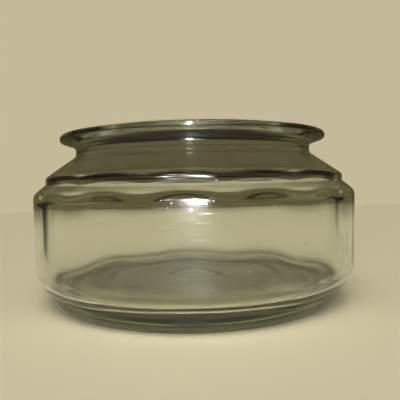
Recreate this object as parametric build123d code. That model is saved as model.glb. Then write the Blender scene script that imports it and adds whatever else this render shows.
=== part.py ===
from build123d import *
import os

# A squat, wide-mouthed glass dish, blown in a mould as a single piece of clear glass.
# Millimetres, +Z up, origin at the centre of the circle that the dish stands on.
# Every outline below is drawn as (radius, height) and turned about the Z axis.

# Driving dimensions
BODY_RADIUS = 95.0          # where the lines of the wall and the tier cross, just outside the widest point
HEIGHT = 96.0               # foot to the top of the lip
WALL = 4.2                  # glass thickness of the upright wall
PANELS = 16                 # flat panels pressed round the shoulder and the wall

# Foot and base
FOOT_RADIUS = 86.0
HEEL_RADIUS = 7.5           # rounding from the side of the foot to the standing ring
NOTCH_HEIGHT = 8.8          # groove where the body rounds in to the foot
STANDING_RADIUS = 75.5      # inner edge of the ring that touches the table
FLOOR_HEIGHT = 12.5         # inside floor
INNER_CORNER = 8.0          # rounding between the inside floor and the wall

# Wall
LOWER_RADIUS = 94.05        # wall radius just above its bottom rounding
BOTTOM_CORNER_HEIGHT = 15.1
BOTTOM_ROUNDING = 18.0
WALL_TOP_HEIGHT = 62.2
WALL_TOP_ROUNDING = 5.0
WALL_FLAT = 94.1            # distance from the axis to a wall panel

# Sloping tier and the upright step above it
STEP_FOOT_RADIUS = 87.6
STEP_FOOT_HEIGHT = 68.3
STEP_RADIUS = 88.3
STEP_EDGE_HEIGHT = 71.6
STEP_FLAT = 87.1            # distance from the axis to a step panel
TIER_SLOPE = (WALL_TOP_HEIGHT - STEP_FOOT_HEIGHT) / (BODY_RADIUS - STEP_FOOT_RADIUS)

# Neck and flared lip
NECK_RADIUS = 70.2
NECK_BORE_RADIUS = 66.0
NECK_FOOT_HEIGHT = 84.5
FLARE_HEIGHT = 90.2
LIP_RADIUS = 79.0
LIP_UNDERSIDE = 93.4
THROAT_HEIGHT = 92.4        # where the straight bore starts to open out
MOUTH_RADIUS = 69.9         # inner edge of the lip's flat top
LIP_ROUNDING = 1.2

# Underside: a shallow push-up with two concentric steps, (radius, height) of each
PUSH_UP = [(71.5, 2.4), (51.0, 3.1), (16.5, 3.7)]
PUSH_UP_STEP = 1.6          # radial width of each step's slope
PUSH_UP_ROUNDING = 0.5


def turned(points, radii):
    """A solid turned about Z from an outline that starts and ends on the axis."""
    outline = FilletPolyline(*[(x, z) for x, z in points], radius=radii)
    axis_line = Line(points[-1], points[0])
    return revolve(Plane.XZ * make_face([outline, axis_line]), Axis.Z)


def panelled(solid, flat, bottom, top):
    """Trim a turned solid with flat upright panels that stand at the given distance."""
    sides = RegularPolygon(flat, PANELS, major_radius=False)
    return solid & extrude(Plane.XY.offset(bottom) * sides, top - bottom)


def lower_body():
    """Foot, wall and sloping tier, without the hollow."""
    tier_inner = STEP_FOOT_RADIUS - WALL
    tier_inner_height = STEP_FOOT_HEIGHT + TIER_SLOPE * (tier_inner - STEP_FOOT_RADIUS)
    outline = [
        (0, 0),
        (FOOT_RADIUS, 0),
        (FOOT_RADIUS, NOTCH_HEIGHT),
        (LOWER_RADIUS, BOTTOM_CORNER_HEIGHT),
        (BODY_RADIUS, WALL_TOP_HEIGHT),
        (tier_inner, tier_inner_height),
        (0, tier_inner_height),
    ]
    radii = [HEEL_RADIUS, 0.5, BOTTOM_ROUNDING, WALL_TOP_ROUNDING, 0]
    return panelled(turned(outline, radii), WALL_FLAT, 0, HEIGHT)


def upper_body():
    """Step, shoulder, neck and lip, without the hollow."""
    base = STEP_FOOT_HEIGHT - 2 * WALL
    outline = [
        (0, base),
        (STEP_RADIUS, base),
        (STEP_RADIUS, STEP_EDGE_HEIGHT),
        (NECK_RADIUS, NECK_FOOT_HEIGHT),
        (NECK_RADIUS, FLARE_HEIGHT),
        (LIP_RADIUS, LIP_UNDERSIDE),
        (LIP_RADIUS, HEIGHT),
        (0, HEIGHT),
    ]
    radii = [0, 1.2, 3.0, 3.5, 1.0, 0]
    return panelled(turned(outline, radii), STEP_FLAT, base, HEIGHT)


def hollow():
    """Inside of the dish, open through the mouth."""
    outline = [
        (0, FLOOR_HEIGHT),
        (LOWER_RADIUS - WALL, FLOOR_HEIGHT),
        (BODY_RADIUS - WALL, WALL_TOP_HEIGHT - 2.2),
        (STEP_FOOT_RADIUS - 2.8, STEP_FOOT_HEIGHT - 2.2),
        (STEP_FOOT_RADIUS - 3.4, STEP_FOOT_HEIGHT + 0.7),
        (NECK_BORE_RADIUS, NECK_FOOT_HEIGHT - 2.5),
        (NECK_BORE_RADIUS, THROAT_HEIGHT),
        (MOUTH_RADIUS, HEIGHT),
        (MOUTH_RADIUS, HEIGHT + 2),
        (0, HEIGHT + 2),
    ]
    radii = [INNER_CORNER, 6.0, 3.0, 3.0, 3.0, 3.0, 0, 0]
    return turned(outline, radii)


def push_up():
    """Space under the base: a stepped recess inside the standing ring."""
    outline = [(0, -1), (STANDING_RADIUS, -1), (STANDING_RADIUS, 0)]
    height = 0
    for radius, next_height in PUSH_UP:
        if height:
            outline.append((radius + PUSH_UP_STEP, height))
        outline.append((radius, next_height))
        height = next_height
    outline.append((0, height))
    radii = [0, 0] + [PUSH_UP_ROUNDING] * (len(outline) - 4)
    return turned(outline, radii)


def glass_dish():
    """The whole dish: one solid of glass."""
    dish = lower_body() + upper_body() - hollow() - push_up()
    lip_edges = dish.edges().filter_by(GeomType.CIRCLE).group_by(Axis.Z)[-1]
    return fillet(lip_edges, LIP_ROUNDING)


def main():
    os.makedirs("parts", exist_ok=True)
    dish = glass_dish()
    dish.label = "glass_dish"
    export_step(dish, "parts/glass_dish.step")


main()
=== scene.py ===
from math import cos, exp, log, pi, radians, sin, tan, tau

import bmesh
import bpy
from mathutils import Matrix, Vector, noise


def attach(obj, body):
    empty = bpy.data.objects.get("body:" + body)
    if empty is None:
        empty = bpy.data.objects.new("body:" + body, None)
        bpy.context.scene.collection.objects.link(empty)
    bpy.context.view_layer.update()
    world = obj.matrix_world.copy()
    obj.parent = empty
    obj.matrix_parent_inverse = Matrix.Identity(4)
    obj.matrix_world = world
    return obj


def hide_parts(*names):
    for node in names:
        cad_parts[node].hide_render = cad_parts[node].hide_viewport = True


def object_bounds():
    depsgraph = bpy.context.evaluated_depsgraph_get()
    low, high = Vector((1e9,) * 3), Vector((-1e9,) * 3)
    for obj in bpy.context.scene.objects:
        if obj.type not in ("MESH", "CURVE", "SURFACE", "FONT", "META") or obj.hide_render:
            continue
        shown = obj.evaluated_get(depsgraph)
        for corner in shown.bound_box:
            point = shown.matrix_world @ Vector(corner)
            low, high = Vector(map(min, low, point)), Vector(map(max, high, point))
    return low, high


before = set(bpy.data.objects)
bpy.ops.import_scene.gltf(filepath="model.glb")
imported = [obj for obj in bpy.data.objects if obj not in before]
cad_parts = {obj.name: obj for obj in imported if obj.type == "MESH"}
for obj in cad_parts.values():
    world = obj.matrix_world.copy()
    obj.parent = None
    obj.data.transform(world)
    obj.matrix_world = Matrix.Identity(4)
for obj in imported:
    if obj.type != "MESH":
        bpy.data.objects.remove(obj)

# A squat glass dish, mould-blown in one piece. The dish and the camera are in millimetres until
# mesh_from_columns and camera_frame turn them into metres, and the setting is in metres. The
# origin is the centre of the foot, +Z up.

MM = 0.001
cad_low, cad_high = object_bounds()

# Driving sizes, the first two from the frame
BODY_RADIUS = (cad_high.x - cad_low.x) / 2 / MM
HEIGHT = cad_high.z / MM
WALL = 4.2
PANELS = 16

# Foot and base
FOOT_RADIUS = 86.0
FOOT_ROUNDING = 7.5
STANDING_RADIUS = 75.5      # inner edge of the flat ring that the dish stands on
NOTCH_HEIGHT = 8.8
FLOOR_HEIGHT = 12.5
LOWER_RADIUS = 94.0         # where the lines of the bottom and the wall cross
LOWER_HEIGHT = 15.1
LOWER_ROUNDING = 17.0
INNER_ROUNDING = 8.0
PUSH_UP = [                 # shallow steps under the base, as (radius, height, rounding)
    (0.0, 3.5, 0),
    (14.5, 3.5, 5.0),
    (18.5, 3.1, 5.0),
    (49.5, 2.9, 5.0),
    (54.0, 2.4, 5.0),
    (71.5, 2.4, 1.5),
]

# Wall, sloping tier, step and shoulder
WALL_TOP_HEIGHT = 62.2
WALL_FLAT = BODY_RADIUS - 1.0
STEP_FOOT_RADIUS = 87.6
STEP_FOOT_HEIGHT = 68.3
STEP_RADIUS = 88.3
STEP_FLAT = 87.0
TIER_SLOPE = -0.824         # rise for each millimetre further out
SHOULDER_SLOPE = -0.713
PANEL_SOFTNESS = 0.14       # how far the ridges between panels are rounded off

# Neck and lip
NECK_RADIUS = 70.2
BORE_RADIUS = 66.2
MOUTH_RADIUS = 69.9         # where the lip's flat top turns down into the throat
NECK_FOOT_HEIGHT = 84.5
FLARE_HEIGHT = 90.2
LIP_RADIUS = 78.95
LIP_UNDERSIDE = 93.1
LIP_DIP = 0.6               # fall of the lip's top towards the throat
THROAT_HEIGHT = 92.5
BORE_SPREAD = 2.0           # how much wider the bore is at its foot

COLUMNS = PANELS * 15       # round the dish
SPACING = 1.2               # between rows along a straight run
ARC_SPACING = 0.75          # between rows round a corner
LEAST_ARC_ROWS = 3

# Unevenness of blown glass, as (slow waves, quick waves, rings on the upper body)
UNEVEN_INSIDE = (0.07, 0.030, 0.050)
UNEVEN_OUTSIDE = (0.05, 0.010, 0.030)
SLOW_WAVE = 34
QUICK_WAVE = 11
RING_PITCH = 2.2
RING_DRIFT = 300            # how far along a ring its depth stays much the same
RING_FADE = 8               # height over which the rings fade in above the tier
LIP_FADE_ROWS = 12          # rows on either side of the lip's top over which unevenness fades in
AXIS_FADE = 20              # radius inside which it fades out
STANDING_BAND = 1           # height below which the outside stays as drawn


def soft_min(a, b, softness):
    """The smaller of two radii, with the change from one to the other rounded off."""
    least = min(a, b)
    return least - softness * log(exp((least - a) / softness) + exp((least - b) / softness))


def outline(turn):
    """Corners of the glass's section, as (radius, height, rounding).

    The turn is the angle from a panel's middle. The corners run from the middle of the underside,
    up the outside, over the lip and down to the middle of the inside floor.
    """
    wall = soft_min(BODY_RADIUS, WALL_FLAT / cos(turn), PANEL_SOFTNESS)
    step = soft_min(STEP_RADIUS, STEP_FLAT / cos(turn), PANEL_SOFTNESS)
    wall_height = WALL_TOP_HEIGHT + TIER_SLOPE * (wall - BODY_RADIUS)
    step_foot_height = STEP_FOOT_HEIGHT + TIER_SLOPE * (step - STEP_FOOT_RADIUS)
    step_edge_height = NECK_FOOT_HEIGHT + SHOULDER_SLOPE * (step - NECK_RADIUS)
    return PUSH_UP + [
        (STANDING_RADIUS, 0.0, 0.8),
        (FOOT_RADIUS, 0.0, FOOT_ROUNDING),
        (FOOT_RADIUS, NOTCH_HEIGHT, 0.6),
        (LOWER_RADIUS, LOWER_HEIGHT, LOWER_ROUNDING),
        (wall, wall_height, 5.0),
        (step, step_foot_height, 0.9),
        (step, step_edge_height, 1.2),
        (NECK_RADIUS, NECK_FOOT_HEIGHT, 3.0),
        (NECK_RADIUS, FLARE_HEIGHT, 3.5),
        (LIP_RADIUS, LIP_UNDERSIDE, 1.0),
        (LIP_RADIUS, HEIGHT, 1.2),
        # The inside starts here
        (MOUTH_RADIUS, HEIGHT - LIP_DIP, 2.5),
        (BORE_RADIUS, THROAT_HEIGHT, 3.0),
        (BORE_RADIUS + BORE_SPREAD, NECK_FOOT_HEIGHT - 1.9, 4.1),
        (STEP_FOOT_RADIUS - 3.4, STEP_FOOT_HEIGHT + 1.5, 5.0),
        (STEP_FOOT_RADIUS - 2.8, STEP_FOOT_HEIGHT - 2.2, 3.0),
        (BODY_RADIUS - WALL, WALL_TOP_HEIGHT - 2.2, 8.0),
        (LOWER_RADIUS - WALL, FLOOR_HEIGHT, INNER_ROUNDING),
        (0.0, FLOOR_HEIGHT, 0),
    ]


def rounded_runs(corners):
    """Each corner's arc as (start, end, centre, turn), and the ends of the outline as they are."""
    runs = []
    for index, (radius, height, rounding) in enumerate(corners):
        here = Vector((radius, height))
        if not rounding:
            runs.append((here, here, None, 0.0))
            continue
        before = Vector(corners[index - 1][:2]) - here
        after = Vector(corners[index + 1][:2]) - here
        half = before.angle(after) / 2
        reach = rounding / tan(half)
        start = here + before.normalized() * reach
        end = here + after.normalized() * reach
        inward = (before.normalized() + after.normalized()).normalized()
        centre = here + inward * rounding / sin(half)
        runs.append((start, end, centre, pi - 2 * half))
    return runs


def step_counts(corners):
    """How many rows each corner's arc, and each straight run after a corner, is given."""
    runs = rounded_runs(corners)
    arcs = []
    for (_, _, centre, turn), (_, _, rounding) in zip(runs, corners):
        count = round(turn * rounding / ARC_SPACING)
        arcs.append(0 if centre is None else max(LEAST_ARC_ROWS, count))
    straights = []
    for (_, end, _, _), (following, _, _, _) in zip(runs, runs[1:]):
        straights.append(max(1, round((following - end).length / SPACING)))
    return arcs, straights


def section(turn, counts):
    """Points (radius, height) along the glass's section, as many at every turn."""
    arcs, straights = counts
    corners = outline(turn)
    runs = rounded_runs(corners)
    points = []
    for index, (start, end, centre, _) in enumerate(runs):
        if centre is None:
            points.append(start)
        else:
            first_arm = start - centre
            last_arm = end - centre
            angle = first_arm.angle(last_arm)
            for row in range(arcs[index] + 1):
                share = row / arcs[index]
                arm = first_arm * sin((1 - share) * angle) + last_arm * sin(share * angle)
                points.append(centre + arm / sin(angle))
        if index < len(straights):
            following = runs[index + 1][0]
            for row in range(1, straights[index]):
                points.append(end.lerp(following, row / straights[index]))
    return points


def unevenness(place, inside):
    """How far the glass stands in or out of its drawn shape, as blown glass does.

    The neck and shoulder also carry faint rings from being turned while soft. The added numbers
    only keep the three patterns apart.
    """
    slow = noise.noise(place / SLOW_WAVE)
    quick = noise.noise(place / QUICK_WAVE + Vector((40, 7, 3)))
    stretched = Vector((place.x / RING_DRIFT, place.y / RING_DRIFT, place.z / RING_PITCH))
    rings = noise.noise(stretched + Vector((3.1, 1.7, 0)))
    upper = min(1.0, max(0.0, (place.z - STEP_FOOT_HEIGHT) / RING_FADE))
    slow_depth, quick_depth, ring_depth = UNEVEN_INSIDE if inside else UNEVEN_OUTSIDE
    return slow_depth * slow + quick_depth * quick + ring_depth * upper * rings


def glass_columns():
    """Columns of points, one for each angle round the dish.

    Each runs from the underside's middle, over the lip, to the inside floor's middle.
    """
    counts = step_counts(outline(0.0))
    pitch = tau / PANELS
    columns = []
    for column in range(COLUMNS):
        angle = column * tau / COLUMNS
        points = section(angle % pitch - pitch / 2, counts)
        lip_row = max(range(len(points)), key=lambda row: points[row].y)
        line = []
        for row, point in enumerate(points):
            along = points[min(row + 1, len(points) - 1)] - points[max(row - 1, 0)]
            outward = Vector((along.y, -along.x)).normalized()
            place = Vector((point.x * cos(angle), point.x * sin(angle), point.y))
            inside = row > lip_row
            fade = min(1.0, abs(row - lip_row) / LIP_FADE_ROWS) * min(1.0, point.x / AXIS_FADE)
            if not inside and point.y < STANDING_BAND:
                fade = 0.0
            moved = point + outward * unevenness(place, inside) * fade
            line.append(Vector((moved.x * cos(angle), moved.x * sin(angle), moved.y)))
        columns.append(line)
    return columns


def mesh_from_columns(name, columns):
    """A closed mesh from columns of points that share their first and last points."""
    rows = len(columns[0])
    vertices = [columns[0][0] * MM]
    for row in range(1, rows - 1):
        vertices += [line[row] * MM for line in columns]
    vertices.append(columns[0][-1] * MM)
    last = len(vertices) - 1
    count = len(columns)

    def index(row, column):
        return 1 + (row - 1) * count + column % count

    faces = []
    for column in range(count):
        beside = column + 1
        faces.append((0, index(1, beside), index(1, column)))
        for row in range(1, rows - 2):
            lower = (index(row, column), index(row, beside))
            upper = (index(row + 1, beside), index(row + 1, column))
            faces.append(lower + upper)
        faces.append((index(rows - 2, column), index(rows - 2, beside), last))
    mesh = bpy.data.meshes.new(name)
    mesh.from_pydata(vertices, [], faces)
    mesh.validate()
    work = bmesh.new()
    work.from_mesh(mesh)
    bmesh.ops.recalc_face_normals(work, faces=work.faces)
    work.to_mesh(mesh)
    work.free()
    mesh.polygons.foreach_set("use_smooth", [True] * len(mesh.polygons))
    piece = bpy.data.objects.new(name, mesh)
    bpy.context.scene.collection.objects.link(piece)
    return piece


def new_material(name):
    material = bpy.data.materials.new(name)
    material.use_nodes = True
    material.node_tree.nodes.clear()
    return material, material.node_tree.nodes, material.node_tree.links


POLISH = 0.045              # roughness of the glass where nothing has worn it


def fine_wear(nodes, links):
    """Roughness of the glass: polished, with hairline rubs round the dish and a few dull spots."""
    place = nodes.new("ShaderNodeTexCoord")

    def worn(scale, low, high, strength):
        """Noise stretched by scale, from nothing where it is below low to strength above high."""
        stretch = nodes.new("ShaderNodeMapping")
        stretch.inputs["Scale"].default_value = scale
        links.new(place.outputs["Object"], stretch.inputs["Vector"])
        grain = nodes.new("ShaderNodeTexNoise")
        grain.inputs["Scale"].default_value = 1.0
        grain.inputs["Detail"].default_value = 3.0
        links.new(stretch.outputs["Vector"], grain.inputs["Vector"])
        keep = nodes.new("ShaderNodeMapRange")
        links.new(grain.outputs["Fac"], keep.inputs["Value"])
        keep.inputs["From Min"].default_value = low
        keep.inputs["From Max"].default_value = high
        keep.inputs["To Max"].default_value = strength
        return keep.outputs["Result"]

    rubs = worn(scale=(70, 70, 1500), low=0.58, high=0.78, strength=0.20)
    spots = worn(scale=(420, 420, 420), low=0.66, high=0.80, strength=0.30)
    wear = nodes.new("ShaderNodeMath")
    links.new(rubs, wear.inputs[0])
    links.new(spots, wear.inputs[1])
    total = nodes.new("ShaderNodeMath")
    links.new(wear.outputs["Value"], total.inputs[0])
    total.inputs[1].default_value = POLISH
    return total.outputs["Value"]


def clear_glass():
    """Clear glass with fine wear and a faint green that shows where it is thick.

    The coat spreads the flash into a weak glow.
    """
    material, nodes, links = new_material("clear_glass")
    output = nodes.new("ShaderNodeOutputMaterial")
    shader = nodes.new("ShaderNodeBsdfPrincipled")
    shader.inputs["Base Color"].default_value = (0.96, 0.97, 0.93, 1)
    wear = fine_wear(nodes, links)
    links.new(wear, shader.inputs["Roughness"])
    shader.inputs["IOR"].default_value = 1.52
    shader.inputs["Transmission Weight"].default_value = 1.0
    shader.inputs["Coat Weight"].default_value = 0.10
    shader.inputs["Coat Roughness"].default_value = 0.11
    links.new(shader.outputs["BSDF"], output.inputs["Surface"])
    tint = nodes.new("ShaderNodeVolumeAbsorption")
    tint.inputs["Color"].default_value = (0.70, 0.74, 0.62, 1)
    tint.inputs["Density"].default_value = 24.0
    links.new(tint.outputs["Volume"], output.inputs["Volume"])
    return material


def floor_material():
    material, nodes, links = new_material("pale_floor")
    output = nodes.new("ShaderNodeOutputMaterial")
    shader = nodes.new("ShaderNodeBsdfPrincipled")
    shader.inputs["Base Color"].default_value = (0.70, 0.635, 0.435, 1)
    shader.inputs["Roughness"].default_value = 0.9
    shader.inputs["Specular IOR Level"].default_value = 0.1
    links.new(shader.outputs["BSDF"], output.inputs["Surface"])
    return material


FLOOR_RADIUS = 1.25         # beyond it the background takes over
FLOOR_GAP = 0.0002          # keeps the floor and the underside of the foot apart
STAGE_SEGMENTS = 96


def add_floor():
    work = bmesh.new()
    bmesh.ops.create_circle(work, cap_ends=True, segments=STAGE_SEGMENTS, radius=FLOOR_RADIUS)
    mesh = bpy.data.meshes.new("floor")
    work.to_mesh(mesh)
    work.free()
    floor = bpy.data.objects.new("floor", mesh)
    floor.location.z = -FLOOR_GAP
    bpy.context.scene.collection.objects.link(floor)
    mesh.materials.append(floor_material())


CLOTH = (0.55, 0.49, 0.32, 1)
# Painted shadow: a fixed dark colour that stands in for the dish's shadow on the cloth.
PAINTED_SHADOW_CLOTH = (0.115, 0.096, 0.043, 1)     # the cloth where the dish keeps the light off it
DARK_ROOM = (0.010, 0.011, 0.008, 1)
CLOTH_TOP = (0.09, 0.26)    # sines of elevation between which the cloth gives way to the room


def add_world():
    """A plain pale cloth where the camera sees it directly.

    All other rays meet a cloth that gives way to a dark room higher up.
    """
    world = bpy.data.worlds.new("room")
    bpy.context.scene.world = world
    world.use_nodes = True
    nodes = world.node_tree.nodes
    links = world.node_tree.links
    nodes.clear()
    place = nodes.new("ShaderNodeTexCoord")
    split = nodes.new("ShaderNodeSeparateXYZ")
    links.new(place.outputs["Generated"], split.inputs["Vector"])
    fade = nodes.new("ShaderNodeMapRange")
    fade.interpolation_type = "SMOOTHSTEP"
    links.new(split.outputs["Z"], fade.inputs["Value"])
    fade.inputs["From Min"].default_value = CLOTH_TOP[0]
    fade.inputs["From Max"].default_value = CLOTH_TOP[1]
    room = nodes.new("ShaderNodeMix")
    room.data_type = "RGBA"
    links.new(fade.outputs["Result"], room.inputs["Factor"])
    room.inputs["A"].default_value = CLOTH
    room.inputs["B"].default_value = DARK_ROOM
    path = nodes.new("ShaderNodeLightPath")
    pick = nodes.new("ShaderNodeMix")
    pick.data_type = "RGBA"
    links.new(path.outputs["Is Camera Ray"], pick.inputs["Factor"])
    links.new(room.outputs["Result"], pick.inputs["A"])
    pick.inputs["B"].default_value = CLOTH
    background = nodes.new("ShaderNodeBackground")
    links.new(pick.outputs["Result"], background.inputs["Color"])
    output = nodes.new("ShaderNodeOutputWorld")
    links.new(background.outputs["Background"], output.inputs["Surface"])


SHADE_RADIUS = 0.125
SHADE_BOTTOM = 0.040        # height above the floor
SHADE_EDGE = 0.014          # height over which its lower edge fades in
SHADE_TOP = 0.130


def add_shade():
    """A glowing band of painted shadow on cloth round the dish, hidden from direct view and diffuse
    light.
    """
    work = bmesh.new()
    bmesh.ops.create_circle(work, segments=STAGE_SEGMENTS, radius=SHADE_RADIUS)
    raised = bmesh.ops.extrude_edge_only(work, edges=work.edges[:])["geom"]
    for item in raised:
        if isinstance(item, bmesh.types.BMVert):
            item.co.z = SHADE_TOP - SHADE_BOTTOM
    mesh = bpy.data.meshes.new("shade")
    work.to_mesh(mesh)
    work.free()
    material, nodes, links = new_material("painted_shadow_cloth")
    output = nodes.new("ShaderNodeOutputMaterial")
    # The band glows in this fixed colour: painted shadow, not light from a lamp.
    glow = nodes.new("ShaderNodeEmission")
    glow.inputs["Color"].default_value = PAINTED_SHADOW_CLOTH
    clear = nodes.new("ShaderNodeBsdfTransparent")
    place = nodes.new("ShaderNodeTexCoord")
    split = nodes.new("ShaderNodeSeparateXYZ")
    links.new(place.outputs["Object"], split.inputs["Vector"])
    fade = nodes.new("ShaderNodeMapRange")
    links.new(split.outputs["Z"], fade.inputs["Value"])
    fade.inputs["From Max"].default_value = SHADE_EDGE
    soften = nodes.new("ShaderNodeMixShader")
    links.new(fade.outputs["Result"], soften.inputs[0])
    links.new(clear.outputs["BSDF"], soften.inputs[1])
    links.new(glow.outputs["Emission"], soften.inputs[2])
    links.new(soften.outputs["Shader"], output.inputs["Surface"])
    mesh.materials.append(material)
    shade = bpy.data.objects.new("shade", mesh)
    shade.location.z = SHADE_BOTTOM
    shade.visible_camera = False
    shade.visible_diffuse = False
    shade.visible_shadow = False
    bpy.context.scene.collection.objects.link(shade)


# Camera: a phone held close to the dish, level with its sloping tier
CAMERA_DISTANCE = 274.9     # from the dish's axis
CAMERA_HEIGHT = 65.45
CAMERA_TURN = radians(-8.6)
CAMERA_PITCH = radians(1.631)
CAMERA_YAW = radians(0.773)
CAMERA_ROLL = radians(1.261)
LENS = 39.6


def camera_frame():
    """Camera position in metres, and its right, up and forward directions."""
    about = Matrix.Rotation(CAMERA_TURN, 3, "Z")
    level = Vector((sin(CAMERA_YAW), cos(CAMERA_YAW), 0))
    right = Vector((cos(CAMERA_YAW), -sin(CAMERA_YAW), 0))
    forward = level * cos(CAMERA_PITCH) - Vector((0, 0, sin(CAMERA_PITCH)))
    up = level * sin(CAMERA_PITCH) + Vector((0, 0, cos(CAMERA_PITCH)))
    rolled_right = right * cos(CAMERA_ROLL) - up * sin(CAMERA_ROLL)
    rolled_up = right * sin(CAMERA_ROLL) + up * cos(CAMERA_ROLL)
    place = about @ Vector((0, -CAMERA_DISTANCE, CAMERA_HEIGHT)) * MM
    return place, about @ rolled_right, about @ rolled_up, about @ forward


def add_camera():
    place, right, up, forward = camera_frame()
    camera = bpy.data.cameras.new("camera")
    camera.lens = LENS
    camera.sensor_width = 36.0
    camera.clip_start = 0.01
    holder = bpy.data.objects.new("camera", camera)
    turn = Matrix((right, up, -forward)).transposed().to_4x4()
    holder.matrix_world = Matrix.Translation(place) @ turn
    bpy.context.scene.collection.objects.link(holder)
    bpy.context.scene.camera = holder


SUN_COLOUR = (1.0, 0.98, 0.93)
FLASH_COLOUR = (1.0, 0.98, 0.95)
FLASH_OFFSET = 0.012        # to the left of the lens
FLASH_DIAMETER = 0.012
FLASH_WATTS = 3.6
FLASH_TARGET = Vector((0, 0, 0.05))


def add_sun(name, heading, strength, angle):
    """A sun that lights the floor and isn't itself seen or mirrored. The angle is in degrees."""
    sun = bpy.data.lights.new(name, "SUN")
    sun.energy = strength
    sun.angle = radians(angle)
    sun.color = SUN_COLOUR
    lamp = bpy.data.objects.new(name, sun)
    lamp.rotation_euler = Vector(heading).to_track_quat("-Z", "Y").to_euler()
    lamp.visible_glossy = False
    lamp.visible_transmission = False
    lamp.visible_camera = False
    bpy.context.scene.collection.objects.link(lamp)
    return sun


def add_flash():
    """A small lamp beside the lens, for the glints.

    Diffuse surfaces don't see it directly. It still brightens the floor, near the lamp through the
    floor's weak sheen, and in front of the foot.
    """
    place, right, _, _ = camera_frame()
    light = bpy.data.lights.new("flash", "AREA")
    light.shape = "DISK"
    light.size = FLASH_DIAMETER
    light.energy = FLASH_WATTS
    light.color = FLASH_COLOUR
    flash = bpy.data.objects.new("flash", light)
    flash.location = place - right * FLASH_OFFSET
    flash.rotation_euler = (FLASH_TARGET - flash.location).to_track_quat("-Z", "Y").to_euler()
    flash.visible_diffuse = False
    flash.visible_camera = False
    bpy.context.scene.collection.objects.link(flash)


def add_lights():
    """A soft key, an overhead fill, a sun for the light that gets through the glass, and a flash."""
    through = add_sun("through", heading=(0.35, 1.0, -1.15), strength=0.42, angle=9)
    through.use_shadow = False
    add_sun("key", heading=(0.25, 1.0, -1.6), strength=1.50, angle=40)
    add_sun("fill", heading=(0.1, 0.25, -1.0), strength=0.75, angle=80)
    add_flash()


bpy.context.scene.view_settings.view_transform = "Standard"

dish = mesh_from_columns("dish", glass_columns())
dish.data.materials.append(clear_glass())
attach(dish, "root")
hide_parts("glass_dish")

add_floor()
add_shade()
add_world()
add_lights()
add_camera()
